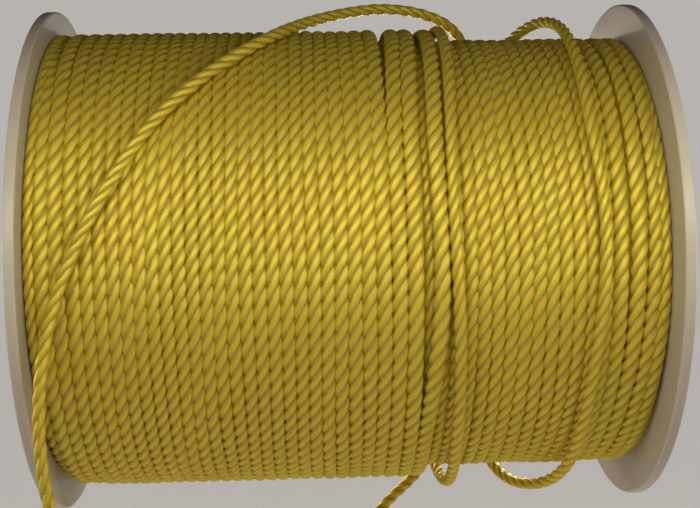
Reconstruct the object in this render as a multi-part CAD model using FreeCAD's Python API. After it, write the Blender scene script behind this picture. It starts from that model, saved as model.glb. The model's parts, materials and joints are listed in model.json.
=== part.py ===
import FreeCAD, Part
import math
import os

# A spool of three-strand twisted cord, 1/8 in thick, on a two-flange plastic spool.
# Frame: X is the spool's axis, +Z is up, -Y is the side that faces the viewer, and the origin is
# on the axis, halfway between the flanges. Angles round the axis start at the top and run over the
# front to the bottom, the way the cord is wound: 0 top, 90 front, 180 bottom, 270 back.

# Flanges: two alike mouldings
flange_diameter = 140.0
rim_thickness = 2.8
rim_width = 5.0
rim_edge = 0.9
web_thickness = 1.8
traverse = 156.8
bore_diameter = 26.0
sleeve_wall = 2.5
sleeve_length = 14.0
hub_ring_width = 5.0
rib_count = 12
rib_width = 1.8
spigot_wall = 2.0
spigot_length = 12.0
spigot_clearance = 0.15
finger_count = 6
finger_slot = 3.0
start_hole_diameter = 5.0
start_hole_offset = 6.0

# Barrel: a plain tube between the flanges
tube_diameter = 60.0
tube_wall = 2.5

# Cord and how it is wound
cord_diameter = 3.2
layer_rise = 3.07
full_layers = 10
wound_clearance = 0.3
top_layer_width = 98.0
top_loops = 24
lower_loops = 15
ridge_top_share = 0.55
gap_points_per_loop = 72
cord_sides = 6
bend_share = 0.45
bends_shown = 3
leaving_run = 10.0

# Worked out from the sizes above
half_traverse = traverse / 2
flange_radius = flange_diameter / 2
bore_radius = bore_diameter / 2
sleeve_radius = bore_radius + sleeve_wall
hub_radius = bore_radius + hub_ring_width
tube_radius = tube_diameter / 2
tube_inner_radius = tube_radius - tube_wall
spigot_radius = tube_inner_radius - spigot_clearance
cord_radius = cord_diameter / 2
lower_radius = tube_radius + cord_radius + (full_layers - 1) * layer_rise
top_radius = lower_radius + layer_rise
step_place = -half_traverse + top_layer_width
ridge_foot = cord_diameter
ridge_top = cord_diameter * ridge_top_share
ridge_height = cord_diameter - wound_clearance

os.makedirs("parts", exist_ok=True)
axis = FreeCAD.Vector(1, 0, 0)


def save(shape, node):
    """Write one sub-part."""
    shape.exportStep("parts/" + node + ".step")


def turned(profile):
    """A solid of revolution about X from (place, radius) corners, in order round the outline."""
    corners = [FreeCAD.Vector(place, 0, radius) for place, radius in profile]
    face = Part.Face(Part.makePolygon(corners + corners[:1]))
    return face.revolve(FreeCAD.Vector(0, 0, 0), axis, 360)


def around(place, angle, radius):
    """The point at that place along the axis, that angle past the top and that radius."""
    turn = math.radians(angle)
    return FreeCAD.Vector(place, -radius * math.sin(turn), radius * math.cos(turn))


def halfway(first, second):
    return (first + second) * 0.5


# Flange, made at the right-hand end and turned round for the left
def ring(inner_place, outer_place, inner_radius, outer_radius):
    """A plain ring between two places along the axis."""
    return turned(
        [
            (inner_place, inner_radius),
            (inner_place, outer_radius),
            (outer_place, outer_radius),
            (outer_place, inner_radius),
        ]
    )


def flange_disc():
    """Web, rim with broken edges, hub ring, and the sleeve that lines the bore."""
    inner = half_traverse
    outer = half_traverse + rim_thickness
    web = half_traverse + web_thickness
    rim_inside = flange_radius - rim_width
    return turned(
        [
            (inner - sleeve_length, bore_radius),
            (inner - sleeve_length, sleeve_radius),
            (inner, sleeve_radius),
            (inner, flange_radius - rim_edge),
            (inner + rim_edge, flange_radius),
            (outer - rim_edge, flange_radius),
            (outer, flange_radius - rim_edge),
            (outer, rim_inside),
            (web, rim_inside),
            (web, hub_radius),
            (outer, hub_radius),
            (outer, bore_radius),
        ]
    )


def flange_ribs():
    """Radial ribs on the outer face, from the hub ring to the rim."""
    start = hub_radius - rib_width / 2
    length = flange_radius - rim_width + rib_width / 2 - start
    place = half_traverse + web_thickness / 2
    height = rim_thickness - web_thickness / 2
    ribs = []
    for number in range(rib_count):
        rib = Part.makeBox(height, rib_width, length, FreeCAD.Vector(place, -rib_width / 2, start))
        rib.rotate(FreeCAD.Vector(0, 0, 0), axis, 360 / rib_count * (number + 0.5))
        ribs.append(rib)
    return ribs


def spigot():
    """The split collar that grips the barrel from inside."""
    collar = ring(
        half_traverse - spigot_length,
        half_traverse + web_thickness / 2,
        spigot_radius - spigot_wall,
        spigot_radius,
    )
    slots = []
    for number in range(finger_count):
        corner = FreeCAD.Vector(half_traverse - spigot_length, -finger_slot / 2, 0)
        slot = Part.makeBox(spigot_length, finger_slot, flange_radius, corner)
        slot.rotate(FreeCAD.Vector(0, 0, 0), axis, 360 / finger_count * number)
        slots.append(slot)
    return collar.cut(slots)


def start_hole():
    """Where the cord's first end is threaded through the flange, close to the barrel."""
    centre = FreeCAD.Vector(half_traverse - rim_thickness / 2, 0, tube_radius + start_hole_offset)
    return Part.makeCylinder(start_hole_diameter / 2, 2 * rim_thickness, centre, axis)


def flange():
    body = flange_disc().fuse(flange_ribs() + [spigot()])
    return body.cut(start_hole()).removeSplitter()


right_flange = flange()
left_flange = right_flange.copy()
left_flange.rotate(FreeCAD.Vector(0, 0, 0), FreeCAD.Vector(0, 0, 1), 180)
save(left_flange, "left_flange")
save(right_flange, "right_flange")

# Barrel and the full inner layers of cord on it
core_tube = ring(-half_traverse, half_traverse, tube_inner_radius, tube_radius)
save(core_tube, "core_tube")


def wound_core():
    """The layers under the outer turns, with the step where the unfinished top layer stops."""
    reach = half_traverse - wound_clearance
    inside = tube_radius + wound_clearance
    under_top = top_radius - cord_radius - wound_clearance
    under_lower = lower_radius - cord_radius - wound_clearance
    return turned(
        [
            (-reach, inside),
            (-reach, under_top),
            (step_place, under_top),
            (step_place, under_lower),
            (reach, under_lower),
            (reach, inside),
        ]
    )


save(wound_core(), "wound_core")


# Cord paths
def crown(start, heading, end):
    """The middle of the arc that leaves start along heading and reaches end."""
    chord = end - start
    lift = heading - chord * (heading.dot(chord) / chord.dot(chord))
    half_turn = math.asin(min(1.0, lift.Length))
    return halfway(start, end) + lift.normalize() * (chord.Length / 2 * math.tan(half_turn / 2))


def biarc(start, heading, end, end_heading):
    """Two arcs that join two points, smooth at both ends and where they meet."""
    chord = end - start
    spare = 2 * (1 - heading.dot(end_heading))
    along = chord.dot(heading + end_heading)
    reach = (-along + math.sqrt(along * along + spare * chord.dot(chord))) / spare
    meeting = halfway(start + heading * reach, end - end_heading * reach)
    return [
        Part.Arc(start, crown(start, heading, meeting), meeting).toShape(),
        Part.Arc(meeting, crown(end, end_heading * -1, meeting), end).toShape(),
    ]


def loop_point(path, turn):
    """A coil's place and heading after a number of turns: path is start, advance, radius, angle."""
    start, advance, radius, angle = path
    point = around(start + advance * turn, angle + 360 * turn, radius)
    bend = math.radians(angle + 360 * turn)
    sweep = 2 * math.pi * radius
    heading = FreeCAD.Vector(advance, -sweep * math.cos(bend), -sweep * math.sin(bend))
    return point, heading.normalize()


def coil_wire(path, loops):
    """Half-turn biarcs for each loop, with a straight end one cord thick at both ends."""
    point, heading = loop_point(path, 0)
    edges = [Part.LineSegment(point - heading * cord_diameter, point).toShape()]
    for half in range(1, 2 * loops + 1):
        end, end_heading = loop_point(path, half / 2)
        edges += biarc(point, heading, end, end_heading)
        point, heading = end, end_heading
    edges.append(Part.LineSegment(point, point + heading * cord_diameter).toShape())
    return Part.Wire(edges), point + heading * cord_diameter, heading


def ridge_section(path):
    """The cord's section in a coil: flat towards the core, narrower outside."""
    point, heading = loop_point(path, 0)
    point = point - heading * cord_diameter
    out = FreeCAD.Vector(0, point.y, point.z).normalize()
    side = heading.cross(out)
    foot = out * (-cord_radius)
    top = out * (ridge_height - cord_radius)
    corners = [
        point + foot - side * (ridge_foot / 2),
        point + foot + side * (ridge_foot / 2),
        point + top + side * (ridge_top / 2),
        point + top - side * (ridge_top / 2),
    ]
    return Part.makePolygon(corners + corners[:1])


def least_gap(wire, loops):
    """The least gap between one loop and the next, measured on points along the cord's line."""
    points = wire.discretize(Number=gap_points_per_loop * loops)
    nearest = flange_diameter
    for number, point in enumerate(points):
        for other in points[number + gap_points_per_loop // 2 : number + 3 * gap_points_per_loop // 2]:
            nearest = min(nearest, point.distanceToPoint(other))
    return nearest - ridge_foot


def coil(path, loops, node):
    """One unbroken wound cord, with its least gap to itself."""
    wire, end, heading = coil_wire(path, loops)
    solid = wire.makePipeShell([ridge_section(path)], True, False)
    print(node, "least gap to itself", round(least_gap(wire, loops), 2), "mm", solid.isValid())
    save(solid, node)
    return end, heading


top_start = -half_traverse + wound_clearance + cord_radius
top_end = step_place - cord_radius
top_path = (top_start, (top_end - top_start) / top_loops, top_radius, 270)
lower_start = half_traverse - wound_clearance - cord_radius
lower_end = step_place + wound_clearance + cord_radius
lower_path = (lower_start, (lower_end - lower_start) / lower_loops, lower_radius, 270)
top_layer_end, top_layer_heading = coil(top_path, top_loops, "top_layer_turns")
coil(lower_path, lower_loops, "lower_layer_turns")


# The cord's loose end. It leaves the top layer at the back, takes two slack turns over the lower
# layer, crosses the front as a slack bight that hangs under the left flange, and comes back up
# behind, where its end is tucked under the second loose turn.
first_loose_turn_points = [
    top_layer_end,
    top_layer_end + top_layer_heading * leaving_run,
    around(20.2, -58, 63.8),
    around(23.0, -38, 64.0),
    around(25.8, -18, 64.3),
    around(27.3, 2, 64.4),
    around(27.4, 22, 63.9),
    around(26.6, 42, 63.7),
    around(25.6, 61, 63.7),
    around(25.1, 80, 63.7),
    around(25.9, 98, 63.7),
    around(26.7, 115, 63.7),
    around(26.8, 133, 63.6),
    around(27.4, 151, 63.9),
    around(27.9, 168, 65.4),
    around(27.5, 181, 66.4),
    around(26.7, 194, 66.1),
    around(25.9, 208, 64.9),
    around(26.1, 224, 64.1),
    around(27.3, 242, 63.6),
    around(29.6, 260, 63.6),
]
second_loose_turn_points = [
    around(32.6, 278, 66.4),
    around(36.6, 294, 67.6),
    around(40.6, 311, 65.9),
    around(45.2, 329, 64.2),
    around(50.5, 346, 64.4),
    around(55.6, 0, 65.9),
    around(59.4, 11, 65.8),
    around(60.8, 25, 64.2),
    around(60.3, 43, 63.7),
    around(60.3, 61, 63.6),
    around(62.1, 80, 63.6),
    around(61.6, 99, 63.6),
    around(59.7, 117, 63.6),
    around(58.9, 135, 63.7),
    around(58.3, 150, 64.4),
    around(56.4, 163, 66.0),
    around(52.0, 174, 67.4),
    around(47.2, 184, 67.7),
    around(43.9, 195, 66.6),
    around(41.4, 209, 64.9),
    around(39.6, 226, 63.9),
    around(39.4, 245, 63.7),
    around(40.4, 262, 63.7),
]
slack_cord_points = [
    around(43.2, 280, 63.7),
    around(47.3, 296, 63.9),
    around(48.9, 310, 65.7),
    around(46.8, 322, 67.9),
    around(41.8, 334, 69.0),
    FreeCAD.Vector(35.0, 15.0, 68.4),
    FreeCAD.Vector(25.0, 8.0, 71.3),
    FreeCAD.Vector(13.0, 1.0, 71.5),
    FreeCAD.Vector(1.0, -7.0, 68.6),
    FreeCAD.Vector(-10.5, -18.0, 63.8),
    around(-20.5, 32, 66.7),
    around(-33.7, 45, 66.6),
    around(-46.9, 59, 66.6),
    around(-57.9, 75, 66.6),
    around(-67.2, 91, 66.7),
    FreeCAD.Vector(-72.6, -66.2, -18.0),
    FreeCAD.Vector(-74.6, -66.0, -36.0),
    FreeCAD.Vector(-73.6, -66.0, -54.0),
    FreeCAD.Vector(-68.4, -65.0, -72.0),
    FreeCAD.Vector(-62.0, -61.0, -90.0),
    FreeCAD.Vector(-53.0, -53.0, -104.5),
    FreeCAD.Vector(-38.5, -42.0, -111.5),
    FreeCAD.Vector(-23.0, -28.0, -108.5),
    FreeCAD.Vector(-9.0, -13.0, -97.0),
    FreeCAD.Vector(2.0, 1.0, -83.5),
    FreeCAD.Vector(12.0, 12.5, -74.0),
    FreeCAD.Vector(21.5, 23.0, -69.0),
    FreeCAD.Vector(28.5, 34.0, -61.5),
    FreeCAD.Vector(33.0, 44.5, -50.5),
    around(34.9, 237, 64.6),
    around(35.0, 255, 63.6),
    around(34.9, 273, 63.5),
    around(34.9, 291, 63.5),
    around(34.9, 304, 63.4),
]


def cord_wire(corners):
    """Straight runs joined by tangent arcs, each as large as its two runs allow."""
    edges = []
    radii = []
    point = corners[0]
    for before, corner, after in zip(corners, corners[1:], corners[2:]):
        reach = bend_share * min((before - corner).Length, (after - corner).Length)
        back = (before - corner).normalize()
        on = (after - corner).normalize()
        half_turn = (math.pi - back.getAngle(on)) / 2
        radius = reach / math.tan(half_turn)
        radii.append(radius)
        start = corner + back * reach
        end = corner + on * reach
        middle = corner + (back + on).normalize() * (radius / math.cos(half_turn) - radius)
        edges.append(Part.LineSegment(point, start).toShape())
        edges.append(Part.Arc(start, middle, end).toShape())
        point = end
    edges.append(Part.LineSegment(point, corners[-1]).toShape())
    return Part.Wire(edges), radii


def faceted_section(point, heading):
    """A regular polygon round the cord's line, its corners on the cord's own circle."""
    across = heading.cross(axis).normalize()
    other = heading.cross(across)
    corners = []
    for number in range(cord_sides):
        angle = 2 * math.pi * number / cord_sides
        spoke = across * math.cos(angle) + other * math.sin(angle)
        corners.append(point + spoke * cord_radius)
    return Part.makePolygon(corners + corners[:1])


def cord(corners, node):
    """One stretch of free cord, with its bend radii and its volume against section times length."""
    wire, radii = cord_wire(corners)
    section = faceted_section(corners[0], (corners[1] - corners[0]).normalize())
    solid = wire.makePipeShell([section], True, False)
    expected = Part.Face(section).Area * wire.Length
    tightest = [round(radius, 1) for radius in sorted(radii)[:bends_shown]]
    print(node, "length", round(wire.Length, 1), "tightest bends", tightest)
    print(node, "volume over section times length", round(solid.Volume / expected, 4), solid.isValid())
    save(solid, node)


first_meeting = halfway(first_loose_turn_points[-1], second_loose_turn_points[0])
second_meeting = halfway(second_loose_turn_points[-1], slack_cord_points[0])
cord(first_loose_turn_points + [first_meeting], "first_loose_turn")
cord([first_meeting] + second_loose_turn_points + [second_meeting], "second_loose_turn")
cord([second_meeting] + slack_cord_points, "slack_cord")
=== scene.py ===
"""A spool of glossy yellow three-strand cord, wound on a white plastic spool with two flanges.

Sizes are in metres. X is the spool's axis, +Z is up and -Y faces the viewer. Angles round the axis
start at the top and run over the front to the bottom.
"""

import json
import math
import random

import bmesh
import bpy
import numpy as np
from mathutils import Matrix, Vector


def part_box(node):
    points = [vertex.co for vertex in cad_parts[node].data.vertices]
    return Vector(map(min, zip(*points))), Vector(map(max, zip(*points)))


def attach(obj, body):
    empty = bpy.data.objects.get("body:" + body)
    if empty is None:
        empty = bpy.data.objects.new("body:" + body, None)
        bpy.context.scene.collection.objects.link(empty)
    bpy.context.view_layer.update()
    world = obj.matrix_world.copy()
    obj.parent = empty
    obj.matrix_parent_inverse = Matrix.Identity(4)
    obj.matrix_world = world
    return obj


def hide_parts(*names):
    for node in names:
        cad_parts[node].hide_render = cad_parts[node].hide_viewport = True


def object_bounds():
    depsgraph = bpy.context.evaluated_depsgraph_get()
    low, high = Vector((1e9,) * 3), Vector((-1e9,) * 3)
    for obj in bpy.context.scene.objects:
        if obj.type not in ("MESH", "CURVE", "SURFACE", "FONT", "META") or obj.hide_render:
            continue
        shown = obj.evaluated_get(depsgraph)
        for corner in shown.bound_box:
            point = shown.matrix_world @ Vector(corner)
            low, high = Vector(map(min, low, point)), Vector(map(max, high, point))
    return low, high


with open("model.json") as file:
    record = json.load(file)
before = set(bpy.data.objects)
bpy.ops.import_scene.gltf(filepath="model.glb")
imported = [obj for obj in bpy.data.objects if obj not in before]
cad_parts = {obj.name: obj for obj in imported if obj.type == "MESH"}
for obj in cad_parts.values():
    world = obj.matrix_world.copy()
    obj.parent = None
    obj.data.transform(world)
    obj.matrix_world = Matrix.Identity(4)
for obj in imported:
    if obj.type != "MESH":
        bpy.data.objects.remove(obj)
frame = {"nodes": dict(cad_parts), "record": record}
cad_box = [list(corner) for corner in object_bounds()]

# Flanges and barrel
half_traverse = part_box("core_tube")[1].x
rim_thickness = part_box("right_flange")[1].x - half_traverse
flange_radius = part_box("right_flange")[1].z
tube_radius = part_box("core_tube")[1].z
bore_radius = frame["record"]["mounts"][0]["dims"]["r_mm"] / 1000
rim_width = 0.005
rim_round = 0.0005
web_thickness = 0.0018
edge_round = 0.0003
foot_round = 0.0006
draft = 0.0003
sleeve_wall = 0.0025
sleeve_length = 0.014
hub_ring_width = 0.005
rib_count = 12
rib_width = 0.0018
spigot_wall = 0.002
spigot_length = 0.012
spigot_clearance = 0.00015
tube_wall = 0.0025
finger_count = 6
finger_slot = 0.003
finger_steps = 12
start_hole_radius = 0.0025
start_hole_offset = 0.006
start_hole_sides = 40

# Cord: round strands whose middles lie off the cord's own line and turn round it once in a lay
cord_diameter = 0.0032
cord_radius = cord_diameter / 2
strand_count = 3
strand_centre = 0.00062
strand_radius = cord_radius - strand_centre
lay = 0.0129

# Winding: turns are pressed wider than the round cord, and wider still where they lie further apart
layer_rise = 0.00307
lower_radius = 0.05923
top_radius = lower_radius + layer_rise
pressed_width = 1.25
widest_by_pitch = 1.1

# Inner layers, whose ridges rise into the grooves under the turns that show
inner_pitch = 0.0033
inner_lift = 0.0008
inner_ridge = cord_radius * 0.9
inner_clearance = 0.0003

# Detail: the distance between a cord's rings, each strand's points in them, and a piece's triangles
wound_step = 0.0009
wound_points = 6
loose_step = 0.00045
loose_points = 9
piece_triangles = 195000

# Camera: yaw, pitch and roll in degrees, and the focal length in millimetres on a 36 mm sensor
camera_turns = (2.08, 0.18, -1.18)
camera_place = (-0.01113, -0.356, -0.00105)
camera_lens = 63.15

# Sky, floor and plastic
backdrop = (0.475, 0.455, 0.432, 1)
sky_level = (0.264, 0.229, 0.211, 1)
sky_overhead = (0.04, 0.034, 0.03, 1)
sky_dimmed_at = 0.3
floor_colour = (0.62, 0.58, 0.55, 1)
floor_glow = 0.38
floor_glow_in_view = 0.9
floor_reach = 3.0
floor_level = cad_box[0][2] - 0.008
flange_tint = (0.54, 0.50, 0.44)
barrel_tint = (0.68, 0.64, 0.58)


# Shader nodes
class Graph:
    """The nodes of a material or world that lead to its end shader, and short ways to add some."""

    def __init__(self, owner, end):
        owner.use_nodes = True
        self.owner = owner
        self.tree = owner.node_tree
        self.end = self.tree.nodes[end]

    def fill(self, node, inputs):
        """Links or sets the node's inputs, given by name or number."""
        for key, value in inputs.items():
            if isinstance(value, bpy.types.NodeSocket):
                self.tree.links.new(value, node.inputs[key])
            else:
                node.inputs[key].default_value = value
        return node

    def add(self, kind, inputs, **settings):
        node = self.tree.nodes.new(kind)
        for key, value in settings.items():
            setattr(node, key, value)
        return self.fill(node, inputs)

    def math(self, operation, first, second=0.0):
        return self.add("ShaderNodeMath", {0: first, 1: second}, operation=operation).outputs[0]

    def mix(self, share, first, second):
        """Two colours mixed: they are the node's inputs 6 and 7, and the share is the second one's."""
        return self.add("ShaderNodeMix", {0: share, 6: first, 7: second}, data_type="RGBA").outputs[2]

    def noise(self, vector, scale, detail=2.0, roughness=0.5):
        inputs = {"Vector": vector, "Scale": scale, "Detail": detail, "Roughness": roughness}
        return self.add("ShaderNodeTexNoise", inputs).outputs["Fac"]

    def stretch(self, value, low, high):
        """The value stretched so that low becomes 0 and high becomes 1."""
        inputs = {"Value": value, "From Min": low, "From Max": high}
        return self.add("ShaderNodeMapRange", inputs).outputs["Result"]

    def between(self, value, low, high):
        """The value carried over so that 0 becomes low and 1 becomes high."""
        inputs = {"Value": value, "To Min": low, "To Max": high}
        return self.add("ShaderNodeMapRange", inputs).outputs["Result"]

    def bump(self, height, distance, strength):
        inputs = {"Height": height, "Distance": distance, "Strength": strength}
        return self.add("ShaderNodeBump", inputs).outputs["Normal"]

    def place(self, kind):
        """The texture coordinates of that kind."""
        return self.add("ShaderNodeTexCoord", {}).outputs[kind]

    def in_view(self):
        """1 for what the camera sees directly, and 0 for light on the spool."""
        return self.add("ShaderNodeLightPath", {}).outputs["Is Camera Ray"]


def new_graph(name):
    return Graph(bpy.data.materials.new(name), "Principled BSDF")


# Camera, light and floor
def photo_camera():
    """The photograph's viewpoint: level with the axis and a little left of the middle."""
    yaw, pitch, roll = (math.radians(angle) for angle in camera_turns)
    ahead = Vector((math.sin(yaw) * math.cos(pitch), math.cos(yaw) * math.cos(pitch), math.sin(pitch)))
    level = Vector((math.cos(yaw), -math.sin(yaw), 0))
    upright = level.cross(ahead)
    right = level * math.cos(roll) + upright * math.sin(roll)
    up = upright * math.cos(roll) - level * math.sin(roll)
    data = bpy.data.cameras.new("camera")
    data.lens = camera_lens
    data.sensor_width = 36
    camera = bpy.data.objects.new("camera", data)
    turn = Matrix((right, up, -ahead)).transposed().to_4x4()
    camera.matrix_world = Matrix.Translation(camera_place) @ turn
    bpy.context.scene.collection.objects.link(camera)
    bpy.context.scene.camera = camera


def area_light(name, place, size, energy, colour, spread=180):
    """A soft rectangular light at a place, turned to the spool's middle and not in view itself."""
    data = bpy.data.lights.new(name, "AREA")
    data.shape = "RECTANGLE"
    data.size, data.size_y = size
    data.energy = energy
    data.color = colour
    data.spread = math.radians(spread)
    light = bpy.data.objects.new(name, data)
    light.location = place
    light.rotation_euler = (-Vector(place)).to_track_quat("-Z", "Y").to_euler()
    light.visible_camera = False
    bpy.context.scene.collection.objects.link(light)


def sky():
    """A sky that dims overhead, with the plain backdrop in its place where the camera looks."""
    world = bpy.data.worlds.new("studio")
    bpy.context.scene.world = world
    g = Graph(world, "Background")
    height = g.add("ShaderNodeSeparateXYZ", {0: g.place("Generated")}).outputs["Z"]
    light = g.mix(g.stretch(height, 0.0, sky_dimmed_at), sky_level, sky_overhead)
    g.fill(g.end, {"Color": g.mix(g.in_view(), light, backdrop)})


def floor():
    """A wide pale floor just under the hanging cord, which glows a little like the backdrop."""
    corners = []
    for across, back in ((-1, -1), (1, -1), (1, 1), (-1, 1)):
        corners.append((across * floor_reach, back * floor_reach, floor_level))
    mesh = bpy.data.meshes.new("floor")
    mesh.from_pydata(corners, [], [(0, 1, 2, 3)])
    g = new_graph("floor")
    inputs = {
        "Base Color": floor_colour,
        "Roughness": 0.8,
        "Emission Color": backdrop,
        "Emission Strength": g.between(g.in_view(), floor_glow, floor_glow_in_view),
    }
    g.fill(g.end, inputs)
    mesh.materials.append(g.owner)
    piece = bpy.data.objects.new("floor", mesh)
    bpy.context.scene.collection.objects.link(piece)


def studio():
    """Sky, floor, a long narrow key light close in front, and lights behind and at both ends."""
    bpy.context.scene.view_settings.view_transform = "Standard"
    sky()
    area_light("key", (0.01, -0.152, 0.037), (0.3, 0.036), 0.153, (1, 0.94, 0.74))
    area_light("behind", (0, 0.34, 0.05), (0.5, 0.1), 0.5, (1, 0.91, 0.81), 80)
    for side in (-1, 1):
        area_light("side", (side * 0.4, 0, 0.005), (0.12, 0.12), 0.045, (1, 0.97, 0.93), 40)
    floor()


# Materials
def cord_material():
    """Glossy yellow synthetic fibre: lemon on the crowns, with darker amber painted shade in the grooves
    between strands, and fibres along the cord.

    U counts lays along the cord and V goes once round it, turning with the strands.
    """
    deep_crown = (0.63, 0.50, 0.05, 1)
    light_crown = (0.72, 0.60, 0.068, 1)
    light_fibre = (0.79, 0.705, 0.083, 1)
    # The next colour is painted shade: a darker amber for the grooves between the strands.
    painted_groove_shade = (0.56, 0.355, 0.07, 1)
    fibres_along, fibres_round = 2.0, 30.0
    g = new_graph("yellow_cord")
    parts = g.add("ShaderNodeSeparateXYZ", {0: g.place("UV")}).outputs
    along, with_strands = parts[0], parts[1]
    in_strand = g.math("FRACT", g.math("MULTIPLY", with_strands, float(strand_count)))
    off_crown = g.math("ABSOLUTE", g.math("SUBTRACT", in_strand, 0.5))
    # Painted shade: the colour darkens to amber towards the grooves between the strands.
    groove = g.stretch(off_crown, 0.12, 0.5)
    round_cord = g.math("ADD", with_strands, along)
    fibre_place = {
        0: g.math("MULTIPLY", along, fibres_along),
        1: g.math("MULTIPLY", round_cord, fibres_round),
    }
    fibre = g.noise(g.add("ShaderNodeCombineXYZ", fibre_place).outputs[0], 2.2, 2.0, 0.6)
    blotch = g.noise(g.place("Object"), 55.0, 3.0, 0.6)
    crown = g.mix(g.stretch(blotch, 0.32, 0.68), deep_crown, light_crown)
    streaked = g.mix(g.stretch(fibre, 0.35, 0.75), crown, light_fibre)
    inputs = {
        "Base Color": g.mix(groove, streaked, painted_groove_shade),
        "Metallic": 0.35,
        "Normal": g.bump(fibre, 0.00008, 0.5),
        "Roughness": g.between(fibre, 0.43, 0.55),
        "Subsurface Weight": 0.75,
        "Subsurface Radius": (1.0, 0.55, 0.12),
        "Subsurface Scale": 0.0012,
        "Specular IOR Level": 1.0,
        "Specular Tint": (1.0, 0.95, 0.2, 1),
    }
    g.fill(g.end, inputs)
    return g.owner


def plastic_material(name, tint):
    """White moulded plastic, a little waxy and translucent, with faint flow marks and handling wear."""
    worn_tint = (0.58, 0.53, 0.49, 1)
    pale_tint = tuple(min(1.0, channel * 1.06) for channel in tint)
    g = new_graph(name)
    place = g.place("Object")
    cloud = g.noise(place, 30.0, 3.0, 0.55)
    grain = g.noise(place, 900.0, 2.0, 0.5)
    streaks = g.add("ShaderNodeMapping", {"Vector": place, "Scale": (40, 400, 400)}).outputs[0]
    worn = g.stretch(g.noise(streaks, 1.0, 4.0, 0.7), 0.58, 0.78)
    colour = g.mix(g.stretch(cloud, 0.3, 0.7), (*tint, 1), (*pale_tint, 1))
    height = g.math("ADD", g.math("MULTIPLY", grain, 0.3), g.math("MULTIPLY", cloud, 2.0))
    inputs = {
        "Base Color": g.mix(g.math("MULTIPLY", worn, 0.25), colour, worn_tint),
        "Normal": g.bump(height, 0.00006, 0.5),
        "Roughness": g.math("ADD", 0.32, g.math("MULTIPLY", worn, 0.25)),
        "Subsurface Weight": 0.3,
        "Subsurface Scale": 0.003,
        "Specular IOR Level": 0.45,
    }
    g.fill(g.end, inputs)
    return g.owner


def dress(piece, slot, material, *nodes):
    """Links a new piece, with its material and body, in place of the nodes; the slot is not used."""
    bpy.context.scene.collection.objects.link(piece)
    piece.data.materials.append(material)
    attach(piece, "root")
    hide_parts(*nodes)
    return piece


# Cord
def around(place, angle, radius):
    """The point at that place along the axis, that angle in degrees past the top and that radius."""
    turn = math.radians(angle)
    return Vector((place, -radius * math.sin(turn), radius * math.cos(turn)))


def eased(at, knots):
    """The value at each place, easing from one (place, value) knot to the next."""
    places, values = np.array(knots, float).T
    number = np.clip(np.searchsorted(places, at) - 1, 0, len(places) - 2)
    share = np.clip((at - places[number]) / (places[number + 1] - places[number]), 0, 1)
    return values[number] + (values[number + 1] - values[number]) * share * share * (3 - 2 * share)


def length_along(line):
    return np.concatenate([[0], np.cumsum(np.linalg.norm(np.diff(line, axis=0), axis=1))])


def evenly(line, step):
    """The same line with evenly spaced points."""
    length = length_along(line)
    at = np.linspace(0, length[-1], round(length[-1] / step) + 1)
    return np.stack([np.interp(at, length, line[:, part]) for part in range(3)], axis=1)


def headings(line):
    """The line's direction at each of its points."""
    tangent = np.gradient(line, axis=0)
    return tangent / np.linalg.norm(tangent, axis=1)[:, None]


def carried(line, outward):
    """The outward direction carried along the line without turning about it."""
    directions = [np.array(outward, float)]
    for heading in headings(line)[1:]:
        direction = directions[-1] - heading * directions[-1].dot(heading)
        directions.append(direction / np.linalg.norm(direction))
    return np.array(directions)


def strand_outline(points_per_strand):
    """The cord's outline, its strands side by side: a radius and an angle for each point."""
    third = math.pi / strand_count
    reach = third + math.asin(math.sin(third) * strand_centre / strand_radius)
    radii, angles = [], []
    for strand in range(strand_count):
        for number in range(points_per_strand):
            turn = reach * (2 * number / points_per_strand - 1)
            across = strand_centre + strand_radius * math.cos(turn)
            aside = strand_radius * math.sin(turn)
            radii.append(math.hypot(across, aside))
            angles.append(math.atan2(aside, across) + 2 * third * strand)
    return np.array(radii), np.array(angles)


def cord_rings(line, outward, turned, width, points_per_strand, tip):
    """The cord's outline round each point, with its turning and sideways width; a tip is rounded off."""
    tangent = headings(line)
    outward = outward - tangent * np.sum(outward * tangent, axis=1)[:, None]
    outward /= np.linalg.norm(outward, axis=1)[:, None]
    aside = np.cross(tangent, outward) * width[:, None]
    radii, angles = strand_outline(points_per_strand)
    bearing = angles[None, :] + turned[:, None]
    spoke = np.cos(bearing)[..., None] * outward[:, None] + np.sin(bearing)[..., None] * aside[:, None]
    size = np.ones(len(line))
    if tip:
        to_end = np.linalg.norm(line - line[-1], axis=1) / cord_radius
        size = np.sqrt(1 - np.clip(1 - to_end, 0, 0.9) ** 2)
    return line[:, None] + spoke * radii[None, :, None] * size[:, None, None]


def cord_faces(count, ring):
    """The faces of a tube through count rings, closed at both ends round a middle point."""
    step = np.arange(count - 1)[:, None] * ring
    here = np.arange(ring)[None, :]
    beside = (here + 1) % ring
    sides = np.stack([step + here, step + beside, step + ring + beside, step + ring + here], axis=-1)
    first, last, top = count * ring, count * ring + 1, (count - 1) * ring
    caps = [(first, (number + 1) % ring, number) for number in range(ring)]
    caps += [(last, top + number, top + (number + 1) % ring) for number in range(ring)]
    return sides.reshape(-1, 4).tolist() + caps


def cord_uv(turned, ring):
    """The faces' corners as lays along the cord and the share of the way round it."""
    lays = turned / (2 * math.pi)
    share = np.arange(ring + 1) / ring
    low, high = (np.repeat(part[:, None], ring, axis=1) for part in (lays[:-1], lays[1:]))
    left, right = (np.repeat(part[None, :], len(lays) - 1, axis=0) for part in (share[:-1], share[1:]))
    corners = [(low, left), (low, right), (high, right), (high, left)]
    sides = np.stack([np.stack(corner, axis=-1) for corner in corners], axis=-2)
    ends = [(value, part) for value in (lays[0], lays[-1]) for part in share[:-1]]
    return np.concatenate([sides.ravel(), np.repeat(ends, 3, axis=0).ravel()])


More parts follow.
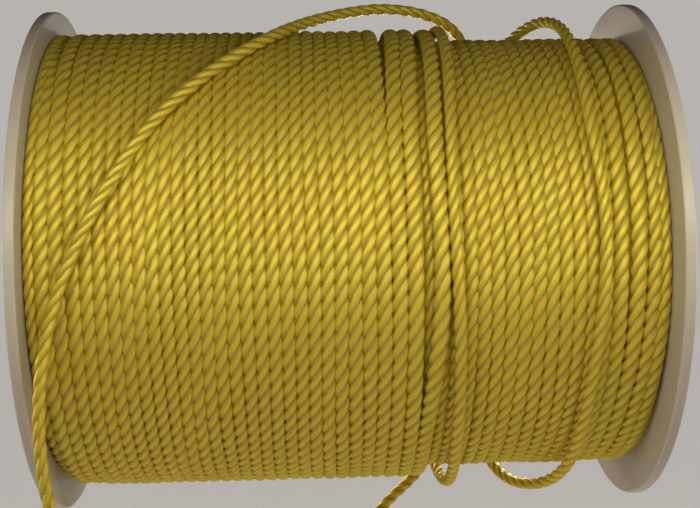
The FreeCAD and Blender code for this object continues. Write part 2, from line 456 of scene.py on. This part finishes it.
def sharpen(mesh, count, ring, points_per_strand):
    """Marks the grooves between strands and the rims of both ends as sharp."""
    ends = np.zeros(len(mesh.edges) * 2, np.int32)
    mesh.edges.foreach_get("vertices", ends)
    ends = ends.reshape(-1, 2)
    row, column = ends // ring, ends % ring
    groove = (column[:, 0] == column[:, 1]) & (column[:, 0] % points_per_strand == 0)
    rim = (row[:, 0] == row[:, 1]) & ((row[:, 0] == 0) | (row[:, 0] == count - 1))
    sharp = mesh.attributes.new("sharp_edge", "BOOLEAN", "EDGE")
    sharp.data.foreach_set("value", (ends < ring * count).all(axis=1) & (groove | rim))


def cord_mesh(name, line, outward, turned, width, points_per_strand, tip=False):
    """A closed cord of strands along its points, with its turning and sideways width at each."""
    rings = cord_rings(line, outward, turned, width, points_per_strand, tip)
    count, ring = rings.shape[:2]
    vertices = np.concatenate([rings.reshape(-1, 3), line[:1], line[-1:]])
    mesh = bpy.data.meshes.new(name)
    mesh.from_pydata(vertices.tolist(), [], cord_faces(count, ring))
    layer = mesh.uv_layers.new(name="lay")
    layer.data.foreach_set("uv", cord_uv(turned, ring))
    mesh.polygons.foreach_set("use_smooth", np.ones(len(mesh.polygons), bool))
    sharpen(mesh, count, ring, points_per_strand)
    return mesh


# Wound turns
def ripple(seed, waves, amount):
    """A smooth random field over the place along the spool and the angle round it."""
    chance = random.Random(seed)
    terms = []
    for _ in range(waves):
        terms.append((chance.uniform(60, 420), chance.randint(1, 5), chance.uniform(0, 6.28)))

    def field(place, angle):
        value = np.zeros_like(place)
        for pitch, turns, phase in terms:
            value += np.sin(pitch * place + turns * angle + phase)
        return value * amount / waves

    return field


def wound_line(start, pitches, straight, radius, sway, rise):
    """A layer's line: pitches are (turns, pitch) knots, sway and rise move it along and outwards.

    The turns run straighter over the front, by the share of a pitch, and step across behind. They
    wander a little, and come to rest over the last fifth of a turn. No turn goes into a flange:
    where one would, it lies against the flange and is narrower.
    """
    knots, rates = np.array(pitches, float).T
    count = int((knots[-1] - knots[0]) * 2 * math.pi * radius / wound_step)
    turns = np.linspace(knots[0], knots[-1], count)
    rate = np.interp(turns, knots, rates)
    place = start + np.concatenate([[0], np.cumsum((rate[1:] + rate[:-1]) / 2 * np.diff(turns))])
    angle = 2 * math.pi * turns
    degrees = (turns * 360 + 90) % 360 - 90
    wander = eased(turns, [(knots[-1] - 0.2, 1), (knots[-1], 0)])
    moved = place + rate * straight * np.cos(angle) + sway(place, degrees, turns)
    moved += ripple(3, 7, 0.00035)(place, angle) * wander
    reach = radius + rise(turns) + ripple(11, 9, 0.0003)(place, angle) * wander
    limit = half_traverse - cord_radius
    moved = np.clip(moved, -limit, limit)
    line = np.stack([moved, -reach * np.sin(angle), reach * np.cos(angle)], axis=1)
    outward = np.stack([np.zeros(count), -np.sin(angle), np.cos(angle)], axis=1)
    turned = 2 * math.pi * length_along(line) / lay + ripple(17, 5, 1.6)(place, angle)
    to_wall = (half_traverse - np.abs(moved)) / cord_radius
    spread = pressed_width * np.clip(np.abs(rate) / cord_diameter, 1, widest_by_pitch)
    width = np.minimum(1 + (spread - 1) * wander, to_wall)
    return line, outward, turned, width


def wind(name, node, winding, material):
    """One layer of turns, in pieces of a few turns each."""
    line, outward, turned, width = winding
    rings = piece_triangles // (2 * strand_count * wound_points)
    pieces = math.ceil(len(line) / rings)
    cuts = [len(line) * number // pieces for number in range(pieces)] + [len(line) - 1]
    for number, (low, high) in enumerate(zip(cuts, cuts[1:])):
        part = slice(low, high + 1)
        mesh = cord_mesh(name, line[part], outward[part], turned[part], width[part], wound_points)
        dress(bpy.data.objects.new(f"{name}_{number + 1}", mesh), "cord", material, node)


def top_winding():
    """The unfinished top layer: 30 turns from the left flange, the last ones fanned out at the top."""
    first_turn, last_turn = -0.25, 29.758

    def sway(place, degrees, turns):
        """Along the spool: off the flange, aslant behind, and the last turns and the second one."""
        off_wall = eased(place, [(-0.076, 1), (-0.05, 0)])
        off_wall = off_wall * eased(degrees, [(-90, 0), (20, -0.0016), (95, 0)])
        behind = eased(degrees, [(-90, -1), (0, 0), (90, 0), (270, -1)])
        behind = behind * 0.19 * np.maximum(place - 0.0032, 0)
        fan = eased(place, [(0.0082, 0), (0.0098, 1)]) * eased(degrees, [(-80, 0), (5, 0.0029), (70, 0)])
        last = eased(place, [(0.0155, 0), (0.017, 1)])
        last = last * eased(degrees, [(-80, 0), (-15, 0.0016), (60, 0.0023), (95, 0.0028), (142, 0)])
        second = 0.0004 * eased(turns, [(0.9, 0), (1.25, 1)]) * eased(turns, [(1.3, 1), (1.8, 0)])
        return off_wall + behind + fan + last + second

    def rise(turns):
        """Outwards: the first turns dip below the top layer in places."""
        knots = [(first_turn, -0.003), (0.1, 0), (0.25, -0.0004), (0.45, -0.003), (0.8, -0.0027)]
        knots += [(1, -0.0014), (1.15, -0.0003), (1.25, 0), (1.45, -0.0006), (1.9, 0)]
        knots += [(2.1, 0), (2.45, -0.0004), (2.8, 0), (29.8, 0)]
        return eased(turns, knots)

    pitches = [(first_turn, 0), (0.25, 0.0016), (1.25, 0.0038), (2.25, 0.0039), (3.25, 0.0033)]
    pitches += [(4, 0.00318), (10, 0.00316), (20, 0.0032), (24, 0.0034), (26, 0.00355)]
    pitches += [(27.5, 0.00395), (last_turn, 0.0035)]
    line, *rest = wound_line(-half_traverse + 0.0012, pitches, 0.1, top_radius, sway, rise)
    turns = np.linspace(first_turn, last_turn, len(line))
    miss = np.array(first_route[0]) - line[-1]
    line = line + miss * eased(turns, [(29.3, 0), (last_turn, 1)])[:, None]
    return line, *rest


def lower_winding():
    """The last full layer, wound towards the left; it shows from the step to the right flange."""

    def sway(place, degrees, turns):
        near_wall = eased(place, [(0.0585, 0), (0.072, 1)])
        return near_wall * 0.0022 * np.cos(np.radians(degrees - 30))

    def rise(turns):
        return eased(turns, [(-0.25, -0.002), (0.05, -0.0016), (0.21, 0)])

    pitches = [(-0.25, -0.0022), (1, -0.0028), (2, -0.00435), (3, -0.00395), (4, -0.0029)]
    pitches += [(6, -0.0033), (9, -0.0033), (10.5, -0.0035), (12, -0.0033), (21, -0.00335)]
    return wound_line(half_traverse - 0.0013, pitches, 0.17, lower_radius, sway, rise)


def inner_layers(material):
    """The layers below, one surface ridged like wound cord, with a step under the top layer."""
    per_turn = 10
    around_count = 180
    reach = half_traverse - inner_clearance
    places = np.linspace(-reach, reach, int(2 * reach / inner_pitch * per_turn))
    angles = np.linspace(0, 2 * math.pi, around_count, endpoint=False)
    place, angle = np.meshgrid(places, angles, indexing="ij")
    in_turn = (place / inner_pitch + angle / (2 * math.pi)) % 1
    ridge = np.sqrt(1 - (2 * in_turn - 1) ** 2) * inner_ridge
    level = eased(place, [(-0.0745, -1), (-0.0725, 0), (0.004, 0), (0.0055, -1)])
    at_wall = 0.001 * eased(place, [(0.0762, 0), (0.0772, 1)])
    radius = lower_radius + level * layer_rise + inner_lift + at_wall + ridge
    rows = np.concatenate([radius, np.full((2, around_count), tube_radius + inner_clearance)])
    row_places = np.concatenate([places, [reach, -reach]])
    count = len(rows)
    across = np.repeat(row_places[:, None], around_count, axis=1)
    vertices = np.stack([across, -rows * np.sin(angles), rows * np.cos(angles)], axis=-1)
    row = np.arange(count)[:, None] * around_count
    after = (row + around_count) % (count * around_count)
    column = np.arange(around_count)[None, :]
    beside = (column + 1) % around_count
    faces = np.stack([row + column, after + column, after + beside, row + beside], axis=-1)
    lays_per_turn = 2 * math.pi * lower_radius / lay
    turn_share = np.arange(around_count + 1) / around_count
    end_places = np.concatenate([row_places[1:], row_places[:1]])
    corners = []
    for which, share in ((row_places, 0), (end_places, 0), (end_places, 1), (row_places, 1)):
        part = turn_share[share : around_count + share]
        along = np.repeat(part[None, :] * lays_per_turn, count, axis=0)
        corners.append(np.stack([along, which[:, None] / (2 * inner_pitch) + along], axis=-1))
    mesh = bpy.data.meshes.new("inner_layers")
    mesh.from_pydata(vertices.reshape(-1, 3).tolist(), [], faces.reshape(-1, 4).tolist())
    layer = mesh.uv_layers.new(name="lay")
    layer.data.foreach_set("uv", np.stack(corners, axis=-2).ravel())
    mesh.polygons.foreach_set("use_smooth", np.ones(len(mesh.polygons), bool))
    dress(bpy.data.objects.new("inner_layers", mesh), "cord", material, "wound_core")


# Loose end: the routes of the solids, in front moved by up to 0.4 mm to follow the photograph
first_route = [
    Vector((0.01803, 0.0623, 0.0032)),
    Vector((0.01813, 0.0623, 0.0132)),
    around(0.0202, -58, 0.0638),
    around(0.0230, -38, 0.0640),
    around(0.0258, -18, 0.0643),
    around(0.0273, 2, 0.0644),
    around(0.0274, 22, 0.0639),
    around(0.0265, 42, 0.0637),
    around(0.0253, 61, 0.0637),
    around(0.0248, 80, 0.0637),
    around(0.0256, 98, 0.0637),
    around(0.0264, 115, 0.0637),
    around(0.0268, 133, 0.0636),
    around(0.0274, 151, 0.0639),
    around(0.0279, 168, 0.0654),
    around(0.0275, 181, 0.0664),
    around(0.0267, 194, 0.0661),
    around(0.0259, 208, 0.0649),
    around(0.0261, 224, 0.0641),
    around(0.0273, 242, 0.0636),
    around(0.0296, 260, 0.0636),
]
second_route = [
    around(0.0326, 278, 0.0664),
    around(0.0366, 294, 0.0676),
    around(0.0406, 311, 0.0659),
    around(0.0452, 329, 0.0642),
    around(0.0505, 346, 0.0644),
    around(0.0556, 0, 0.0659),
    around(0.0594, 11, 0.0658),
    around(0.0608, 25, 0.0642),
    around(0.0603, 43, 0.0637),
    around(0.0600, 61, 0.0636),
    around(0.0617, 80, 0.0636),
    around(0.0612, 99, 0.0636),
    around(0.0594, 117, 0.0636),
    around(0.0589, 135, 0.0637),
    around(0.0583, 150, 0.0644),
    around(0.0564, 163, 0.0660),
    around(0.0520, 174, 0.0674),
    around(0.0472, 184, 0.0677),
    around(0.0439, 195, 0.0666),
    around(0.0414, 209, 0.0649),
    around(0.0396, 226, 0.0639),
    around(0.0394, 245, 0.0637),
    around(0.0404, 262, 0.0637),
]
slack_route = [
    around(0.0432, 280, 0.0637),
    around(0.0473, 296, 0.0639),
    around(0.0489, 310, 0.0657),
    around(0.0468, 322, 0.0679),
    around(0.0418, 334, 0.0690),
    Vector((0.0350, 0.0150, 0.0684)),
    Vector((0.0250, 0.0080, 0.0713)),
    Vector((0.0130, 0.0010, 0.0715)),
    Vector((0.0010, -0.0070, 0.0686)),
    Vector((-0.0105, -0.0180, 0.0638)),
    around(-0.0205, 32, 0.0667),
    around(-0.0337, 45, 0.0666),
    around(-0.0469, 59, 0.0666),
    around(-0.0579, 75, 0.0666),
    around(-0.0672, 91, 0.0667),
    Vector((-0.0726, -0.0662, -0.0180)),
    Vector((-0.0746, -0.0660, -0.0360)),
    Vector((-0.0736, -0.0660, -0.0540)),
    Vector((-0.0684, -0.0650, -0.0720)),
    Vector((-0.0620, -0.0610, -0.0900)),
    Vector((-0.0530, -0.0530, -0.1045)),
    Vector((-0.0385, -0.0420, -0.1115)),
    Vector((-0.0230, -0.0280, -0.1085)),
    Vector((-0.0090, -0.0130, -0.0970)),
    Vector((0.0020, 0.0010, -0.0835)),
    Vector((0.0120, 0.0125, -0.0740)),
    Vector((0.0215, 0.0230, -0.0690)),
    Vector((0.0285, 0.0340, -0.0615)),
    Vector((0.0330, 0.0445, -0.0505)),
    around(0.0349, 237, 0.0646),
    around(0.0350, 255, 0.0636),
    around(0.0349, 273, 0.0635),
    around(0.0349, 291, 0.0635),
    around(0.0349, 304, 0.0634),
]


def smooth_line(route):
    """Points along the smooth line that has the route's points as its control points."""
    curve = bpy.data.curves.new("route", "CURVE")
    curve.dimensions = "3D"
    spline = curve.splines.new("NURBS")
    spline.points.add(len(route) - 1)
    for point, place in zip(spline.points, route):
        point.co = (*place, 1)
    spline.order_u = 3
    spline.use_endpoint_u = True
    spline.resolution_u = 40
    holder = bpy.data.objects.new("route", curve)
    mesh = bpy.data.meshes.new_from_object(holder)
    line = np.array([vertex.co[:] for vertex in mesh.vertices])
    bpy.data.meshes.remove(mesh)
    bpy.data.objects.remove(holder)
    bpy.data.curves.remove(curve)
    return evenly(line, loose_step)


def loose_cord(material, outward, turned):
    """The free end in three stretches whose strands run on from the winding and from each other."""
    first_meeting = (first_route[-1] + second_route[0]) / 2
    second_meeting = (second_route[-1] + slack_route[0]) / 2
    stretches = [
        ("first_loose_turn", first_route + [first_meeting], 0.395, "object"),
        ("second_loose_turn", [first_meeting] + second_route + [second_meeting], 0.412, "object"),
        ("slack_cord", [second_meeting] + slack_route, 0.604, "bare"),
    ]
    for node, route, length, far_end in stretches:
        line = smooth_line(route)
        outwards = carried(line, outward)
        turns = turned + 2 * math.pi * length_along(line) / lay
        width = np.ones(len(line))
        mesh = cord_mesh(node + "_rope", line, outwards, turns, width, loose_points, far_end == "bare")
        piece = dress(bpy.data.objects.new(node + "_rope", mesh), "cord", material, node)
        outward, turned = outwards[-1], turns[-1]


# Flanges
def rounded(corners, steps=3):
    """An outline with its corners rounded: corners are (across, up, round) in order."""
    points = []
    for number, (across, up, radius) in enumerate(corners):
        corner = Vector((across, up))
        if radius == 0:
            points.append(corner)
            continue
        before = Vector(corners[number - 1][:2])
        after = Vector(corners[(number + 1) % len(corners)][:2])
        back, on = (before - corner).normalized(), (after - corner).normalized()
        half = back.angle(on) / 2
        centre = corner + (back + on).normalized() * radius / math.sin(half)
        start = corner + back * radius / math.tan(half) - centre
        end = corner + on * radius / math.tan(half) - centre
        sweep = start.angle_signed(end)
        for step in range(steps + 1):
            turn = Matrix.Rotation(-sweep * step / steps, 2)
            points.append(centre + turn @ start)
    return points


def flange_outline():
    """The moulding's section as points of (place from its inner face, radius)."""
    sleeve_radius = bore_radius + sleeve_wall
    hub_radius = bore_radius + hub_ring_width
    rim_inside = flange_radius - rim_width
    return rounded(
        [
            (-sleeve_length, bore_radius, edge_round),
            (-sleeve_length, sleeve_radius, edge_round),
            (0, sleeve_radius, foot_round),
            (0, flange_radius, foot_round),
            (rim_thickness, flange_radius, rim_round),
            (rim_thickness, rim_inside, edge_round),
            (web_thickness, rim_inside - draft, edge_round),
            (web_thickness, hub_radius + draft, edge_round),
            (rim_thickness, hub_radius, edge_round),
            (rim_thickness, bore_radius, foot_round),
        ]
    )


def rib_section():
    """A rib's section as points of (offset to the side, place from the flange's inner face)."""
    foot = rib_width / 2 + draft
    corners = [
        (-foot - edge_round * 2, web_thickness, 0),
        (-foot, web_thickness, edge_round),
        (-rib_width / 2, rim_thickness, edge_round),
        (rib_width / 2, rim_thickness, edge_round),
        (foot, web_thickness, edge_round),
        (foot + edge_round * 2, web_thickness, 0),
    ]
    return rounded(corners)


def grid_mesh(name, points, closed_rows):
    """A mesh through a grid of points, whose columns and, if said, rows run round; ends are closed."""
    rows, columns = len(points), len(points[0])
    vertices = [point for row in points for point in row]
    faces = []
    for row in range(rows if closed_rows else rows - 1):
        after = (row + 1) % rows
        for column in range(columns):
            beside = (column + 1) % columns
            first, second = row * columns, after * columns
            faces.append((first + column, second + column, second + beside, first + beside))
    if not closed_rows:
        faces.append(tuple(range(columns)))
        faces.append(tuple(range((rows - 1) * columns, rows * columns)))
    mesh = bpy.data.meshes.new(name)
    mesh.from_pydata(vertices, [], faces)
    form = bmesh.new()
    form.from_mesh(mesh)
    bmesh.ops.recalc_face_normals(form, faces=form.faces)
    form.to_mesh(mesh)
    form.free()
    return mesh


def flange_point(side, place, angle, radius):
    """A point of the left (-1) or right (1) flange: angle in radians, place from the inner face."""
    return side * (half_traverse + place), -radius * math.sin(angle), radius * math.cos(angle)


def flange_disc(side):
    """The moulding without its collar: one closed grid of section points and angles."""
    ribs = rib_section()
    fillers = 14
    spacing = 2 * math.pi / rib_count
    tolerance = 1e-6
    rows = []
    for place, radius in flange_outline():
        on_web = web_thickness - tolerance <= place <= rim_thickness
        on_web = on_web and radius < flange_radius - rim_width + tolerance
        on_web = on_web and radius > bore_radius + hub_ring_width - tolerance
        row = []
        for number in range(rib_count):
            middle = (number + 0.5) * spacing
            columns = [(middle + math.asin(offset / radius), top) for offset, top in ribs]
            start = columns[-1][0]
            gap = columns[0][0] + spacing - start
            columns += [(start + gap * (step + 1) / (fillers + 1), 0) for step in range(fillers)]
            for angle, top in columns:
                row.append(flange_point(side, max(place, top) if on_web else place, angle, radius))
        rows.append(row)
    return grid_mesh("disc", rows, True)


def collar_finger(side, number):
    """One finger of the split collar that grips the barrel from inside."""
    outside = tube_radius - tube_wall - spigot_clearance
    section = rounded(
        [
            (-spigot_length, outside - spigot_wall, edge_round),
            (-spigot_length, outside, edge_round),
            (web_thickness / 2, outside, 0),
            (web_thickness / 2, outside - spigot_wall, 0),
        ]
    )
    start = 2 * math.pi / finger_count * number
    rows = []
    for step in range(finger_steps + 1):
        row = []
        for place, radius in section:
            trim = math.asin(finger_slot / 2 / radius)
            angle = start + trim + (2 * math.pi / finger_count - 2 * trim) * step / finger_steps
            row.append(flange_point(side, place, angle, radius))
        rows.append(row)
    return grid_mesh("finger", rows, False)


def start_hole(side):
    """A plug the size of the hole that the cord's first end is threaded through."""
    rows = []
    for place in (-rim_thickness, 2 * rim_thickness):
        row = []
        for step in range(start_hole_sides):
            angle = 2 * math.pi * step / start_hole_sides
            up = tube_radius + start_hole_offset + start_hole_radius * math.cos(angle)
            row.append((side * (half_traverse + place), start_hole_radius * math.sin(angle), up))
        rows.append(row)
    return grid_mesh("plug", rows, False)


def cut_or_join(mesh, tools, operation):
    """The mesh after one solid operation with each of the tools."""
    body = bpy.data.objects.new("body", mesh)
    bpy.context.scene.collection.objects.link(body)
    helpers = []
    for tool in tools:
        helper = bpy.data.objects.new("tool", tool)
        bpy.context.scene.collection.objects.link(helper)
        helpers.append(helper)
        modifier = body.modifiers.new("solid", "BOOLEAN")
        modifier.operation = operation
        modifier.solver = "EXACT"
        modifier.object = helper
    view = bpy.context.evaluated_depsgraph_get()
    result = bpy.data.meshes.new_from_object(body.evaluated_get(view))
    for thing in [body] + helpers:
        bpy.data.objects.remove(thing)
    return result


def flange(node, side, material):
    """One flange, its ribs, hub and rim rounded, with the sleeve and the split collar."""
    fingers = [collar_finger(side, number) for number in range(finger_count)]
    mesh = cut_or_join(flange_disc(side), fingers, "UNION")
    mesh = cut_or_join(mesh, [start_hole(side)], "DIFFERENCE")
    mesh.name = node + "_moulding"
    mesh.polygons.foreach_set("use_smooth", np.ones(len(mesh.polygons), bool))
    mesh.set_sharp_from_angle(angle=math.radians(40))
    piece = bpy.data.objects.new(node + "_moulding", mesh)
    dress(piece, "flange_plastic", material, node)
    weighted = piece.modifiers.new("weighted", "WEIGHTED_NORMAL")
    weighted.keep_sharp = True


photo_camera()
studio()
yellow = cord_material()
top_layer = top_winding()
loose_cord(yellow, top_layer[1][-1], top_layer[2][-1])
wind("top_turns", "top_layer_turns", top_layer, yellow)
wind("lower_turns", "lower_layer_turns", lower_winding(), yellow)
inner_layers(yellow)
white = plastic_material("flange_plastic", flange_tint)
flange("left_flange", -1, white)
flange("right_flange", 1, white)
barrel_slots = frame["nodes"]["core_tube"].data.materials
barrel_slots.clear()
barrel_slots.append(plastic_material("barrel_plastic", barrel_tint))
